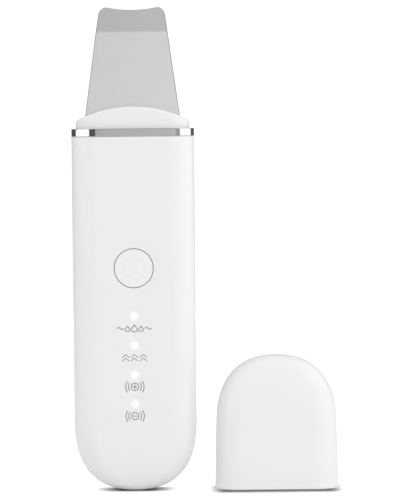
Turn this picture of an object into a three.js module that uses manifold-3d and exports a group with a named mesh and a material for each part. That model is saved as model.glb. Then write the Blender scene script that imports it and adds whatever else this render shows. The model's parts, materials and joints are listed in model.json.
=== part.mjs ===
// Ultrasonic skin scrubber: a slim handle with a bent steel spatula, standing beside its cap.
// Millimetres. +Z up, the button faces -Y, and Z = 0 is the surface that both pieces stand on.
import * as THREE from 'three';
import { mergeVertices } from 'three/addons/utils/BufferGeometryUtils.js';
import Module from 'manifold-3d';

const wasm = await Module();
wasm.setup();

// ---- Driving dimensions ----

const GAP = 0.3; // running or assembly gap between neighbours
const AXIS_SPACING = 51.07; // handle axis to cap axis

const HANDLE = {
  halfWidth: 22.2,
  halfDepth: 9.0,
  wall: 1.6,
  top: 127.7,
  curveStart: 25.7, // the lower end rounds off below this height
  curveHeight: 26.1, // full height of that rounding, before the foot cuts it flat
  widthPower: 2.5,
  depthPower: 4,
};
const RING = { bottom: 128.0, top: 130.8, rebate: 0.9 };
const COLLAR = {
  halfWidth: 20.5,
  halfDepth: 7.35,
  peak: 138.8,
  domeRadius: 44,
  skin: 2.0,
  skirtHalfWidth: 20.2,
  skirtHalfDepth: 7.05,
  skirtWall: 1.4,
  skirtBottom: 122,
};
const SLOT = { halfLength: 19.0, halfWidth: 1.8, bottom: 131.8 };
const BLADE = {
  thickness: 0.6,
  shankHalfWidth: 8,
  shankBottom: 104.9,
  shoulderBottom: 128.5,
  shoulderTop: 131.5,
  rootHalfWidth: 17.67, // at the shoulder's top
  sideStop: 172.1, // the straight sides end here
  sideStopHalfWidth: 12.13,
  cornerHalfWidth: 9.5,
  cornerTop: 174.9,
  tipDip: 1.3, // the working edge is hollow by this much
  bendHeight: 165.9,
  bendRadius: 5,
  bendAngle: THREE.MathUtils.degToRad(16),
};
const CAP = {
  halfWidth: 22.4,
  halfDepth: 9.1,
  wall: 1.2,
  draft: 0.0226, // side walls lean in by this much per millimetre of height
  curveStart: 23.8,
  curveHeight: 24.7,
  widthPower: 2.4,
  depthPower: 3,
  apexCut: 0.05,
};
const BUTTON = { height: 80.5, radius: 6.9, openingRadius: 7.2, flangeRadius: 8.1, postRadius: 1.6 };
const SWITCH = { halfSize: 3, height: 2.2, plungerRadius: 1.5, plungerFront: -5.9, plungerBack: -4.2 };
const LED = { top: 63.2, pitch: 10.56, count: 4, postRadius: 1.0, openingRadius: 1.3 };
const BOARD = { front: -2.9, back: -1.9, halfWidth: 14.5, bottom: 2.0, top: 102 };
const FRAME = { front: -1.6, back: -0.4, halfWidth: 16.6, bottom: 14, step: 102.6, top: 126 };
const BATTERY = { halfWidth: 15, front: -0.1, back: 5.4, bottom: 28, top: 78 };
const PORT = { halfWidth: 4.47, halfDepth: 1.58, shell: 0.3, bottom: 0.6, top: 7.9 };
const PIEZO = { radius: 7, thickness: 1.0, height: 119 };
const SCREW = {
  radius: 0.8,
  holeRadius: 1.1,
  headRadius: 1.7,
  headHeight: 1.2,
  slotWidth: 0.5,
  slotDepth: 0.5,
};
const SLEEVE = { halfWidth: 9.6, halfDepth: 1.7, bottom: 106, top: 110.5 };
const CLAMP_DEPTH = 1.8;
const FRAME_SCREWS = [[-11.5, 21], [11.5, 21], [-11.5, 93], [11.5, 93]];
const CLAMP_SCREWS = [[-12.2, 108.25], [12.2, 108.25]];
const SNAP_HEIGHTS = [40, 70, 100];

// ---- Solids: closed geometries in, one closed geometry out ----

function toSolid(geometry) {
  const bare = geometry.clone();
  bare.deleteAttribute('normal');
  bare.deleteAttribute('uv');
  const merged = mergeVertices(bare, 1e-5);
  return new wasm.Manifold(new wasm.Mesh({
    numProp: 3,
    vertProperties: new Float32Array(merged.attributes.position.array),
    triVerts: new Uint32Array(merged.index.array),
  }));
}

function toGeometry(solid) {
  const mesh = solid.getMesh();
  const geometry = new THREE.BufferGeometry();
  geometry.setAttribute('position', new THREE.BufferAttribute(mesh.vertProperties, 3));
  geometry.setIndex(new THREE.BufferAttribute(mesh.triVerts, 1));
  geometry.computeVertexNormals();
  return geometry;
}

function combine(operation, first, others) {
  const start = toSolid(first);
  return toGeometry(others.reduce((solid, other) => solid[operation](toSolid(other)), start));
}

const join = (first, ...others) => combine('add', first, others);
const cut = (first, ...others) => combine('subtract', first, others);
const common = (first, ...others) => combine('intersect', first, others);

// ---- Outlines and basic forms ----

// A slot-shaped outline: straight front and back, full-round ends.
function stadium(halfWidth, halfDepth) {
  const shape = new THREE.Shape();
  const straight = halfWidth - halfDepth;
  shape.absarc(straight, 0, halfDepth, -Math.PI / 2, Math.PI / 2, false);
  shape.absarc(-straight, 0, halfDepth, Math.PI / 2, 1.5 * Math.PI, false);
  shape.closePath();
  return shape;
}

function roundedRectangle(halfWidth, halfHeight, radius) {
  const shape = new THREE.Shape();
  const x = halfWidth - radius;
  const y = halfHeight - radius;
  shape.absarc(x, -y, radius, -Math.PI / 2, 0, false);
  shape.absarc(x, y, radius, 0, Math.PI / 2, false);
  shape.absarc(-x, y, radius, Math.PI / 2, Math.PI, false);
  shape.absarc(-x, -y, radius, Math.PI, 1.5 * Math.PI, false);
  shape.closePath();
  return shape;
}

// Outline mirrored about the vertical axis, from the points of its right half, bottom to top.
function mirroredOutline(rightHalf) {
  const leftHalf = rightHalf.map(([x, z]) => [-x, z]).reverse();
  return new THREE.Shape([...rightHalf, ...leftHalf].map(([x, z]) => new THREE.Vector2(x, z)));
}

function extrude(shape, depth, curveSegments) {
  return new THREE.ExtrudeGeometry(shape, { depth, bevelEnabled: false, curveSegments });
}

function alongZ(shape, bottom, top, curveSegments = 12) {
  return extrude(shape, top - bottom, curveSegments).translate(0, 0, bottom);
}

// The outline is drawn in X and Z.
function alongY(shape, front, back, curveSegments = 12) {
  return extrude(shape, back - front, curveSegments).rotateX(Math.PI / 2).translate(0, back, 0);
}

// The outline is drawn in Y and Z.
function alongX(shape, left, right, curveSegments = 12) {
  const turn = new THREE.Matrix4().makeBasis(
    new THREE.Vector3(0, 1, 0),
    new THREE.Vector3(0, 0, 1),
    new THREE.Vector3(1, 0, 0),
  );
  return extrude(shape, right - left, curveSegments).applyMatrix4(turn).translate(left, 0, 0);
}

function block([left, right], [front, back], [bottom, top]) {
  const box = new THREE.BoxGeometry(right - left, back - front, top - bottom);
  return box.translate((left + right) / 2, (front + back) / 2, (bottom + top) / 2);
}

function rod(radius, x, z, front, back, segments = 24) {
  const cylinder = new THREE.CylinderGeometry(radius, radius, back - front, segments);
  return cylinder.translate(x, (front + back) / 2, z);
}

// A slot-shaped column whose half-width and half-depth change from station to station.
// Its round ends keep their size until the column is narrower than they are.
function stationedStadium(halfWidth, halfDepth, stations, curveSegments) {
  const steps = stations.length - 1;
  const geometry = new THREE.ExtrudeGeometry(stadium(halfWidth, halfDepth), {
    depth: steps, steps, bevelEnabled: false, curveSegments,
  });
  const straight = halfWidth - halfDepth;
  const position = geometry.attributes.position;
  for (let i = 0; i < position.count; i += 1) {
    const { z, width, depth } = stations[Math.round(position.getZ(i))];
    const x = position.getX(i);
    const round = Math.min(width, halfDepth);
    const flatShare = Math.min(Math.abs(x), straight) / straight;
    const roundShare = Math.max(Math.abs(x) - straight, 0) / halfDepth;
    const across = Math.sign(x) * ((width - round) * flatShare + round * roundShare);
    position.setXYZ(i, across, (position.getY(i) * depth) / halfDepth, z);
  }
  return geometry;
}

// Half-size of a wall that rounds off as a superellipse. rise is 0 where the rounding starts.
function roundedOff(halfSize, rise, power) {
  return halfSize * (1 - Math.max(0, rise) ** power) ** (1 / power);
}

// Heights along a superellipse, closer together where it turns fastest.
function roundingHeights(start, height, lastRise, power, count) {
  const lastAngle = Math.asin(lastRise ** (power / 2));
  return Array.from({ length: count + 1 }, (_, i) => (
    start + height * Math.sin((lastAngle * i) / count) ** (2 / power)
  ));
}

// Insulated lead through a few points.
function lead(radius, points) {
  const path = new THREE.CatmullRomCurve3(points.map((p) => new THREE.Vector3(...p)));
  const section = new THREE.Shape().absarc(0, 0, radius, 0, 2 * Math.PI, false);
  return new THREE.ExtrudeGeometry(section, {
    steps: 10, bevelEnabled: false, extrudePath: path, curveSegments: 4,
  });
}

// ---- Handle: two half shells, the ring and the collar ----

// The handle's outer form shrunk by an inset, between two heights.
function handleForm(inset, bottom, top) {
  const { halfWidth, halfDepth, curveStart, curveHeight, widthPower, depthPower } = HANDLE;
  const height = curveHeight - inset;
  const lastRise = (curveStart - bottom) / height;
  const heights = roundingHeights(curveStart, -height, lastRise, widthPower, 12).reverse();
  const stations = [...heights, top].map((z) => ({
    z,
    width: roundedOff(halfWidth - inset, (curveStart - z) / height, widthPower),
    depth: roundedOff(halfDepth - inset, (curveStart - z) / height, depthPower),
  }));
  return stationedStadium(halfWidth - inset, halfDepth - inset, stations, 8);
}

function handleShell() {
  const hollow = handleForm(HANDLE.wall, HANDLE.wall, HANDLE.top + 1);
  const portOpening = alongZ(stadium(PORT.halfWidth + GAP, PORT.halfDepth + GAP), -1, HANDLE.wall + 2);
  return cut(handleForm(0, 0, HANDLE.top), hollow, portOpening);
}

const BEHIND_EVERYTHING = 20;

// Everything in front of (side -1) or behind (side 1) the parting plane.
function halfSpace(side) {
  const depth = side < 0 ? [-BEHIND_EVERYTHING, -GAP / 2] : [GAP / 2, BEHIND_EVERYTHING];
  return block([-60, 60], depth, [-5, 150]);
}

const ledHeights = Array.from({ length: LED.count }, (_, i) => LED.top - i * LED.pitch);

function frontCover() {
  const inside = -HANDLE.halfDepth + HANDLE.wall;
  const bosses = FRAME_SCREWS.map(([x, z]) => rod(2.2, x, z, inside - 0.4, BOARD.front - GAP));
  const pilots = FRAME_SCREWS.map(([x, z]) => rod(SCREW.holeRadius, x, z, inside + 0.5, 0, 12));
  const buttonOpening = rod(BUTTON.openingRadius, 0, BUTTON.height, -10, inside + 0.5, 48);
  const ledOpenings = ledHeights.map((z) => rod(LED.openingRadius, 0, z, -10, inside + 0.5, 16));
  const shell = join(common(handleShell(), halfSpace(-1)), ...bosses);
  return cut(shell, ...pilots, buttonOpening, ...ledOpenings);
}

function rearCover() {
  const tabs = SNAP_HEIGHTS.flatMap((z) => [-1, 1].map((side) => {
    const across = [18.9 * side, 19.95 * side].sort((a, b) => a - b);
    return block(across, [-2, 4.4], [z - 3, z + 3]);
  }));
  return join(common(handleShell(), halfSpace(1)), ...tabs);
}

function chromeRing() {
  const { halfWidth, halfDepth, wall } = HANDLE;
  const band = alongZ(stadium(halfWidth, halfDepth), RING.bottom, RING.top);
  const bore = alongZ(stadium(halfWidth - wall, halfDepth - wall), RING.bottom - 1, RING.top + 1);
  const rebateWall = wall - 0.6;
  const rebate = alongZ(
    stadium(halfWidth - rebateWall, halfDepth - rebateWall), RING.top - RING.rebate, RING.top + 1,
  );
  return cut(band, bore, rebate);
}

// Everything under the collar's arched top, lowered by a drop.
function underDome(drop) {
  const { domeRadius, peak } = COLLAR;
  const halfSpan = 24;
  const reach = Math.asin(halfSpan / domeRadius);
  const shape = new THREE.Shape();
  shape.moveTo(-halfSpan, COLLAR.skirtBottom - 5);
  shape.lineTo(halfSpan, COLLAR.skirtBottom - 5);
  shape.absarc(0, peak - drop - domeRadius, domeRadius, Math.PI / 2 - reach, Math.PI / 2 + reach, false);
  shape.closePath();
  return alongY(shape, -BEHIND_EVERYTHING, BEHIND_EVERYTHING, 24);
}

function headCollar() {
  const { halfWidth, halfDepth, skirtHalfWidth, skirtHalfDepth, skirtWall, skirtBottom, skin } = COLLAR;
  const above = COLLAR.peak + 2;
  const head = common(alongZ(stadium(halfWidth, halfDepth), RING.top - 0.1, above), underDome(0));
  const shoulder = alongZ(
    stadium(halfWidth + 0.4, halfDepth + 0.4), RING.top - RING.rebate + GAP, RING.top,
  );
  const skirt = alongZ(stadium(skirtHalfWidth, skirtHalfDepth), skirtBottom, RING.top - 0.3);
  const hollow = common(
    alongZ(stadium(skirtHalfWidth - skirtWall, skirtHalfDepth - skirtWall), skirtBottom - 1, above),
    underDome(skin),
  );
  const slot = alongZ(stadium(SLOT.halfLength, SLOT.halfWidth), SLOT.bottom, above, 6);
  const contactNotch = block([-2.2, 2.2], [-8, -5], [skirtBottom - 1, 130]);
  return cut(join(head, shoulder, skirt), hollow, slot, contactNotch);
}

function bladeGasket() {
  const outer = stadium(SLOT.halfLength - GAP, SLOT.halfWidth - GAP);
  const inner = roundedRectangle(BLADE.rootHalfWidth + GAP, BLADE.thickness / 2 + GAP, 0.3);
  const body = common(alongZ(outer, SLOT.bottom, COLLAR.peak + 2, 6), underDome(0.4));
  return cut(body, alongZ(inner, SLOT.bottom - 1, COLLAR.peak + 2, 2));
}

// ---- Head: spatula, piezo disc and what holds them ----

// Front outline of the spatula: narrow shank, shoulders, tapered sides and a hollow working edge.
function bladeOutline() {
  const b = BLADE;
  const edgeRadius = (b.cornerHalfWidth ** 2 + b.tipDip ** 2) / (2 * b.tipDip);
  const halfAngle = Math.asin(b.cornerHalfWidth / edgeRadius);
  const cornerControl = [b.cornerHalfWidth + 2.1, b.cornerTop - 0.1];
  const shape = new THREE.Shape();
  shape.moveTo(-b.shankHalfWidth, b.shankBottom);
  shape.lineTo(b.shankHalfWidth, b.shankBottom);
  shape.lineTo(b.shankHalfWidth, b.shoulderBottom);
  shape.lineTo(b.rootHalfWidth, b.shoulderTop);
  shape.lineTo(b.sideStopHalfWidth, b.sideStop);
  shape.quadraticCurveTo(...cornerControl, b.cornerHalfWidth, b.cornerTop);
  shape.absarc(
    0, b.cornerTop - b.tipDip + edgeRadius, edgeRadius,
    -Math.PI / 2 + halfAngle, -Math.PI / 2 - halfAngle, true,
  );
  shape.quadraticCurveTo(-cornerControl[0], cornerControl[1], -b.sideStopHalfWidth, b.sideStop);
  shape.lineTo(-b.rootHalfWidth, b.shoulderTop);
  shape.lineTo(-b.shankHalfWidth, b.shoulderBottom);
  shape.closePath();
  return shape;
}

// Side profile of the bent sheet, from below the shank to past the tip. The tip leans back.
function bladeProfile() {
  const { thickness, bendHeight, bendRadius, bendAngle, shankBottom } = BLADE;
  const bottom = shankBottom - 1;
  const innerRadius = bendRadius - thickness / 2;
  const outerRadius = bendRadius + thickness / 2;
  const bendStart = bendHeight - bendRadius * Math.tan(bendAngle / 2);
  const tipLength = 14;
  const along = [tipLength * Math.sin(bendAngle), tipLength * Math.cos(bendAngle)];
  const arcEnd = (radius) => [
    bendRadius - radius * Math.cos(bendAngle), bendStart + radius * Math.sin(bendAngle),
  ];
  const [backY, backZ] = arcEnd(innerRadius);
  const shape = new THREE.Shape();
  shape.moveTo(-thickness / 2, bottom);
  shape.lineTo(thickness / 2, bottom);
  shape.absarc(bendRadius, bendStart, innerRadius, Math.PI, Math.PI - bendAngle, true);
  shape.lineTo(backY + along[0], backZ + along[1]);
  const [frontY, frontZ] = arcEnd(outerRadius);
  shape.lineTo(frontY + along[0], frontZ + along[1]);
  shape.absarc(bendRadius, bendStart, outerRadius, Math.PI - bendAngle, Math.PI, false);
  shape.closePath();
  return shape;
}

function scrubBlade() {
  const sheet = alongX(bladeProfile(), -20, 20, 4);
  return common(sheet, alongY(bladeOutline(), -BEHIND_EVERYTHING, BEHIND_EVERYTHING, 14));
}

function piezoDisc() {
  const front = BLADE.thickness / 2 + GAP;
  return rod(PIEZO.radius, 0, PIEZO.height, front, front + PIEZO.thickness, 32);
}

function bladeSleeve() {
  const outline = roundedRectangle(SLEEVE.halfWidth, SLEEVE.halfDepth, 0.6);
  const inner = block(
    [-BLADE.shankHalfWidth - GAP, BLADE.shankHalfWidth + GAP],
    [-BLADE.thickness / 2 - GAP, BLADE.thickness / 2 + GAP],
    [SLEEVE.bottom - 1, SLEEVE.top + 1],
  );
  return cut(alongZ(outline, SLEEVE.bottom, SLEEVE.top, 3), inner);
}

function bladeClamp() {
  const front = SLEEVE.halfDepth + GAP;
  const middle = (SLEEVE.bottom + SLEEVE.top) / 2;
  const outline = roundedRectangle(14.6, 2.45, 1.5);
  const bar = alongY(outline, front, front + CLAMP_DEPTH, 4).translate(0, 0, middle);
  const holes = CLAMP_SCREWS.map(([x, z]) => rod(SCREW.holeRadius, x, z, front - 1, front + 3, 12));
  return cut(bar, ...holes);
}

// ---- Chassis and electronics ----

function innerFrame() {
  const { front, back, halfWidth, bottom, step, top } = FRAME;
  const plateOutline = mirroredOutline([[14, bottom], [halfWidth, bottom + 8], [halfWidth, step]]);
  const plate = alongY(plateOutline, front, back);
  const sideRibs = [-1, 1].map((side) => {
    const across = [halfWidth * side, (halfWidth - 1.2) * side].sort((a, b) => a - b);
    return block(across, [front, 3.5], [BATTERY.bottom - 1.5, BATTERY.top + 1]);
  });
  const lowerRib = block([-halfWidth, halfWidth], [front, 3.5], [BATTERY.bottom - 1.5, BATTERY.bottom - GAP]);
  const upperFront = BOARD.front - 0.5;
  const shelf = block([-15, 15], [upperFront, back], [step - 0.1, step + 2]);
  const upperPlate = block([-15, 15], [upperFront, upperFront + 1.4], [step, top]);
  const bosses = CLAMP_SCREWS.map(([x, z]) => rod(2.1, x, z, upperFront + 1, SLEEVE.halfDepth));
  const pilots = CLAMP_SCREWS.map(([x, z]) => rod(SCREW.holeRadius, x, z, upperFront + 1, 3, 12));
  const screwHoles = FRAME_SCREWS.map(([x, z]) => rod(SCREW.holeRadius, x, z, front - 1, back + 1, 12));
  const leadWindow = block([-8, 8], [front - 1, back + 1], [82, 99]);
  const solid = join(plate, ...sideRibs, lowerRib, shelf, upperPlate, ...bosses);
  return cut(solid, ...pilots, ...screwHoles, leadWindow);
}

function mainBoard() {
  const { front, back, halfWidth, bottom, top } = BOARD;
  const outline = mirroredOutline([[5.6, bottom], [5.6, 9], [halfWidth, 16], [halfWidth, top]]);
  const holes = FRAME_SCREWS.map(([x, z]) => rod(SCREW.holeRadius, x, z, front - 1, back + 1, 12));
  return cut(alongY(outline, front, back), ...holes);
}

const PART_BACK = BOARD.front - GAP; // parts on the board's front stand off by one gap of solder

function chip(halfWidth, halfHeight, height, x, z) {
  const across = [x - halfWidth, x + halfWidth];
  return block(across, [PART_BACK - height, PART_BACK], [z - halfHeight, z + halfHeight]);
}

function tactSwitch() {
  const well = rod(SWITCH.plungerRadius + GAP, 0, BUTTON.height, -8, PART_BACK - 0.4, 20);
  return cut(chip(SWITCH.halfSize, SWITCH.halfSize, SWITCH.height, 0, BUTTON.height), well);
}

function switchPlunger() {
  return rod(SWITCH.plungerRadius, 0, BUTTON.height, SWITCH.plungerFront, SWITCH.plungerBack, 20);
}

function powerButton() {
  const face = -HANDLE.halfDepth;
  const flangeFront = face + HANDLE.wall + GAP;
  const disc = rod(BUTTON.radius, 0, BUTTON.height, face, flangeFront + 0.4, 48);
  const flange = rod(BUTTON.flangeRadius, 0, BUTTON.height, flangeFront, flangeFront + 0.5, 48);
  const post = rod(BUTTON.postRadius, 0, BUTTON.height, flangeFront + 0.3, SWITCH.plungerFront - GAP, 20);
  return join(disc, flange, post);
}

function lightGuide() {
  const strip = block([-2.4, 2.4], [-5.2, -4.4], [ledHeights.at(-1) - 2.4, LED.top + 2.4]);
  const posts = ledHeights.map((z) => rod(LED.postRadius, 0, z, -HANDLE.halfDepth + 0.1, -5, 16));
  return join(strip, ...posts);
}

function driveTransformer() {
  const middle = 93.6;
  const cores = [-1, 1].map((side) => chip(5, 1.5, 3.0, 0, middle + 3.2 * side));
  const winding = chip(3.6, 2.6, 2.6, 0, middle);
  return join(winding, ...cores);
}

// Sprung strip from the board up to the inside of the ring.
function ringContact() {
  const front = -HANDLE.halfDepth + HANDLE.wall + GAP;
  const foot = 100;
  const upright = block([-1.5, 1.5], [front, front + 0.3], [foot, RING.top - 1.1]);
  return join(upright, block([-1.5, 1.5], [front, PART_BACK], [foot, foot + 0.3]));
}

function chargePort() {
  const { halfWidth, halfDepth, shell, bottom, top } = PORT;
  const can = alongZ(stadium(halfWidth, halfDepth), bottom, top, 8);
  const mouth = alongZ(stadium(halfWidth - shell, halfDepth - shell), bottom - 1, top - 0.8, 8);
  const tongue = block([-3.3, 3.3], [-0.35, 0.35], [bottom + 0.7, top - 0.4]);
  return join(cut(can, mouth), tongue);
}

function batteryCell() {
  const { halfWidth, front, back, bottom, top } = BATTERY;
  const outline = roundedRectangle(halfWidth, (back - front) / 2, 1.5);
  return alongZ(outline, bottom, top, 4).translate(0, (back + front) / 2, 0);
}

// Cross-slotted screw along Y, its point to the front.
function screw([x, z], headFront, length) {
  const back = headFront + SCREW.headHeight;
  const head = rod(SCREW.headRadius, x, z, headFront, back, 20);
  const shank = rod(SCREW.radius, x, z, headFront - length, headFront + 0.2, 12);
  const reach = SCREW.headRadius * 0.6;
  const half = SCREW.slotWidth / 2;
  const slotDepth = [back - SCREW.slotDepth, back + 1];
  return cut(
    join(head, shank),
    block([x - reach, x + reach], slotDepth, [z - half, z + half]),
    block([x - half, x + half], slotDepth, [z - reach, z + reach]),
  );
}

// ---- Cap ----

function capForm(inset, bottom) {
  const { halfWidth, halfDepth, draft, curveStart, curveHeight, widthPower, depthPower, apexCut } = CAP;
  const height = curveHeight - inset;
  const lastRise = (height - apexCut) / height;
  const heights = [bottom, ...roundingHeights(curveStart, height, lastRise, widthPower, 12)];
  const stations = heights.map((z) => {
    const rise = (z - curveStart) / height;
    return {
      z,
      width: roundedOff(halfWidth - inset - draft * z, rise, widthPower),
      depth: roundedOff(halfDepth - inset - (draft * z) / 2, rise, depthPower),
    };
  });
  return stationedStadium(halfWidth - inset, halfDepth - inset, stations, 8);
}

function protectiveCap() {
  return cut(capForm(0, 0), capForm(CAP.wall, -1));
}

// ---- Finishes ----

const FINISH = {
  whiteShell: { color: '#f1f1f1', roughness: 0.42, metalness: 0 },
  whiteButton: { color: '#f3f3f3', roughness: 0.38, metalness: 0 },
  chrome: { color: '#d8d9da', roughness: 0.08, metalness: 1 },
  steel: { color: '#cfcfd0', roughness: 0.22, metalness: 1 },
  silicone: { color: '#e3e3e2', roughness: 0.7, metalness: 0 },
  clearPlastic: { color: '#fbfdff', roughness: 0.15, metalness: 0 },
  frame: { color: '#3b3d40', roughness: 0.6, metalness: 0 },
  board: { color: '#1f6b3f', roughness: 0.5, metalness: 0 },
  blackPart: { color: '#1b1c1e', roughness: 0.45, metalness: 0 },
  led: { color: '#fff8e6', roughness: 0.3, metalness: 0 },
  ceramic: { color: '#e9e2d0', roughness: 0.35, metalness: 0 },
  copper: { color: '#b4713a', roughness: 0.35, metalness: 1 },
  battery: { color: '#9fa6ad', roughness: 0.35, metalness: 0.4 },
  foam: { color: '#2a2a2b', roughness: 0.95, metalness: 0 },
  redLead: { color: '#b3261e', roughness: 0.5, metalness: 0 },
  blackLead: { color: '#17181a', roughness: 0.5, metalness: 0 },
  screwSteel: { color: '#a9abae', roughness: 0.3, metalness: 1 },
};

function piece(name, geometry, finish) {
  const mesh = new THREE.Mesh(geometry, new THREE.MeshStandardMaterial(FINISH[finish]));
  mesh.name = name;
  return mesh;
}

// ---- Assembly ----

const scrubber = new THREE.Group();
scrubber.position.x = -(AXIS_SPACING + CAP.halfWidth - HANDLE.halfWidth) / 2;
scrubber.add(
  piece('front_cover', frontCover(), 'whiteShell'),
  piece('rear_cover', rearCover(), 'whiteShell'),
  piece('chrome_ring', chromeRing(), 'chrome'),
  piece('head_collar', headCollar(), 'whiteShell'),
  piece('blade_gasket', bladeGasket(), 'silicone'),
  piece('scrub_blade', scrubBlade(), 'steel'),
  piece('piezo_disc', piezoDisc(), 'ceramic'),
  piece('blade_sleeve', bladeSleeve(), 'silicone'),
  piece('blade_clamp', bladeClamp(), 'frame'),
  piece('inner_frame', innerFrame(), 'frame'),
  piece('main_board', mainBoard(), 'board'),
  piece('power_button', powerButton(), 'whiteButton'),
  piece('tact_switch', tactSwitch(), 'blackPart'),
  piece('switch_plunger', switchPlunger(), 'blackPart'),
  piece('light_guide', lightGuide(), 'clearPlastic'),
  piece('control_chip', chip(3.5, 3.5, 1.0, -8, 58.5), 'blackPart'),
  piece('charge_chip', chip(2, 2.5, 1.2, 7, 38.5), 'blackPart'),
  piece('drive_transformer', driveTransformer(), 'copper'),
  piece('ring_contact', ringContact(), 'screwSteel'),
  piece('charge_port', chargePort(), 'screwSteel'),
  piece('battery', batteryCell(), 'battery'),
  piece('battery_pad', block([-10, 10], [BATTERY.back + GAP, 7.1], [36, 70]), 'foam'),
);

ledHeights.forEach((z, i) => scrubber.add(piece(`led_${i + 1}`, chip(0.8, 0.5, 0.7, 0, z), 'led')));

FRAME_SCREWS.forEach((place, i) => {
  scrubber.add(piece(`frame_screw_${i + 1}`, screw(place, FRAME.back + GAP, 6.4), 'screwSteel'));
});

CLAMP_SCREWS.forEach((place, i) => {
  const headFront = SLEEVE.halfDepth + CLAMP_DEPTH + 2 * GAP;
  scrubber.add(piece(`clamp_screw_${i + 1}`, screw(place, headFront, 5.6), 'screwSteel'));
});

[['red', -1], ['black', 1]].forEach(([colour, side]) => {
  const x = 2.5 * side;
  const route = [[x, 2.6, BATTERY.top + GAP], [x, 2.6, 82], [x, 1.4, 85.6], [x, BOARD.back + GAP, 86.5]];
  scrubber.add(piece(`battery_lead_${colour}`, lead(0.6, route), `${colour}Lead`));
});

[['red', -1], ['black', 1]].forEach(([colour, side]) => {
  const x = 3.5 * side;
  const route = [[x, 2.4, 118], [x, 4.9, 113.5], [x, 4.9, 105], [x, 3.2, 99.5], [x, BOARD.back + GAP, 95.5]];
  scrubber.add(piece(`piezo_lead_${colour}`, lead(0.45, route), `${colour}Lead`));
});

const cap = piece('protective_cap', protectiveCap(), 'whiteShell');
cap.position.x = scrubber.position.x + AXIS_SPACING;

const skinScrubber = new THREE.Group();
skinScrubber.add(scrubber, cap);

export default skinScrubber;
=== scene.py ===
"""Looks of a skin scrubber standing beside its cap: white moulded shells, chrome band, steel spatula.

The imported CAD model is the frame. The shells, the chrome band, the head's pieces, the button, the
indicators and the cap get fine meshes that stand for their CAD nodes. The pieces inside keep their CAD
shape and get a procedural material.
Lengths in this file are millimetres, except where a comment says metres.
"""
import json
import math

import bmesh
import bpy
from mathutils import Matrix, Vector


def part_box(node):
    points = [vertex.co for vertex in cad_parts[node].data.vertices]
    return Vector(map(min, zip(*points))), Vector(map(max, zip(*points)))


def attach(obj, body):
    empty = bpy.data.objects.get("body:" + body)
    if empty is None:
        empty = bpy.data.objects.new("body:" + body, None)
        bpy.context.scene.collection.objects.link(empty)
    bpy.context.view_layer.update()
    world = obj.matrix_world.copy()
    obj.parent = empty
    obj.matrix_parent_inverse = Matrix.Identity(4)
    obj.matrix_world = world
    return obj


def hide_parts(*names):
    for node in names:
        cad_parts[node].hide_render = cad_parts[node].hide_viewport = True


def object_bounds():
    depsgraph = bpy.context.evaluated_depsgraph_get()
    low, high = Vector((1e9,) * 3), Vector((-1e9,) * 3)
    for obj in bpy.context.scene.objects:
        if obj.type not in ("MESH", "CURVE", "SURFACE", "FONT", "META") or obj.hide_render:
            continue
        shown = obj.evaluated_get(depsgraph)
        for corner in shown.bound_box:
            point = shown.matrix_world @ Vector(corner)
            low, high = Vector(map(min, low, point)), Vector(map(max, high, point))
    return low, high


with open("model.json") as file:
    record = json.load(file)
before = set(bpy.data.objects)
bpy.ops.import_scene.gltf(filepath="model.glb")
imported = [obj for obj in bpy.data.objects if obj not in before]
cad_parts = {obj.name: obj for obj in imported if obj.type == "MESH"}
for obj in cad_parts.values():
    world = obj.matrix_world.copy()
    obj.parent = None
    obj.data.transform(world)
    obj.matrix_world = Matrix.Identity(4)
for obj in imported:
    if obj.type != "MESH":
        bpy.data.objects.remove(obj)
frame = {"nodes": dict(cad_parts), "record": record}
cad_low, cad_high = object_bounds()

MM = 0.001
SMOOTH_ANGLE = 32.0  # edges sharper than this many degrees stay sharp


def box_mm(node):
    """Lowest and highest corner of a CAD node, in millimetres."""
    low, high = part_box(node)
    return low / MM, high / MM


def mm(*xyz):
    """A point given in millimetres, in Blender's metres."""
    return Vector(xyz) * MM


# ---- Sizes taken from the frame ----

shell_low, shell_high = box_mm("front_cover")
ring_low, ring_high = box_mm("chrome_ring")
collar_low, collar_high = box_mm("head_collar")
blade_low, blade_high = box_mm("scrub_blade")
button_low, button_high = box_mm("power_button")
cap_low, cap_high = box_mm("protective_cap")

HANDLE_X = (shell_low.x + shell_high.x) / 2
CAP_X = (cap_low.x + cap_high.x) / 2
HALF_WIDTH = (ring_high.x - ring_low.x) / 2
HALF_DEPTH = ring_high.y
WALL = 1.6
SHELL_TOP = ring_low.z - 0.04
FACE_Y = shell_low.y
BUTTON_Z = (button_low.z + button_high.z) / 2
led_boxes = [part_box(f"led_{i}") for i in (1, 2, 3, 4)]
LED_HEIGHTS = [(low.z + high.z) / 2 / MM for low, high in led_boxes]

# The lower end of the handle and the top of the cap round off as superellipses.
FOOT_START, FOOT_HEIGHT = 25.7, 25.85
FOOT_WIDTH_POWER, FOOT_DEPTH_POWER = 2.5, 4
CAP_WALL = 1.2
CAP_DRAFT = 0.0226
CAP_START, CAP_HEIGHT = 23.8, 24.7
CAP_WIDTH_POWER, CAP_DEPTH_POWER = 2.4, 3

# ---- Mesh helpers ----


def link_mesh(name, bm):
    """Makes an object of a bmesh and puts it in the scene."""
    mesh = bpy.data.meshes.new(name)
    bm.to_mesh(mesh)
    bm.free()
    piece = bpy.data.objects.new(name, mesh)
    bpy.context.scene.collection.objects.link(piece)
    return piece


def finish_mesh(piece, smooth_angle=SMOOTH_ANGLE):
    """Shades a piece smooth except at real edges."""
    piece.data.shade_smooth()
    piece.data.set_sharp_from_angle(angle=math.radians(smooth_angle))
    return piece


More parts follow.
